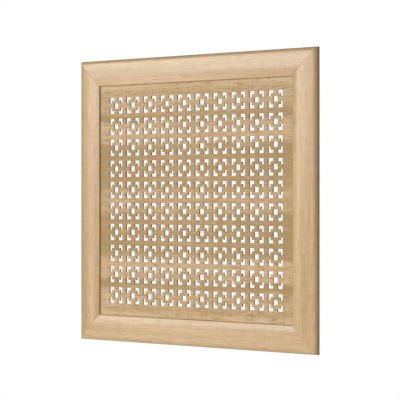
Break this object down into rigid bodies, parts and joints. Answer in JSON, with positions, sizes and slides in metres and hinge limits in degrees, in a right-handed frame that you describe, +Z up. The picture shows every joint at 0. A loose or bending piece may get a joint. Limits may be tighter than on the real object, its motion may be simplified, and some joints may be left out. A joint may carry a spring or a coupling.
{
  "type": "radiator screen",
  "caption": "Square radiator screen: a thin oak-look sheet pierced with square key motifs, held in a mitred frame of convex oak-look moulding.",
  "frame": {"origin": "middle of the top rail's flat back face, where the screen is fixed or hung", "axes": "+Z up the screen, +X to its right seen from the front, +Y out of its back; the pierced front faces -Y"},
  "size_m": [0.6, 0.016, 0.6],
  "materials": {
    "frame_laminate": "satin",
    "sheet_laminate": "satin"
  },
  "bodies": {
    "root": {"top_rail": "frame_laminate", "bottom_rail": "frame_laminate", "left_stile": "frame_laminate", "right_stile": "frame_laminate", "pierced_sheet_lower": "sheet_laminate", "pierced_sheet_upper": "sheet_laminate"}
  },
  "joints": []
}
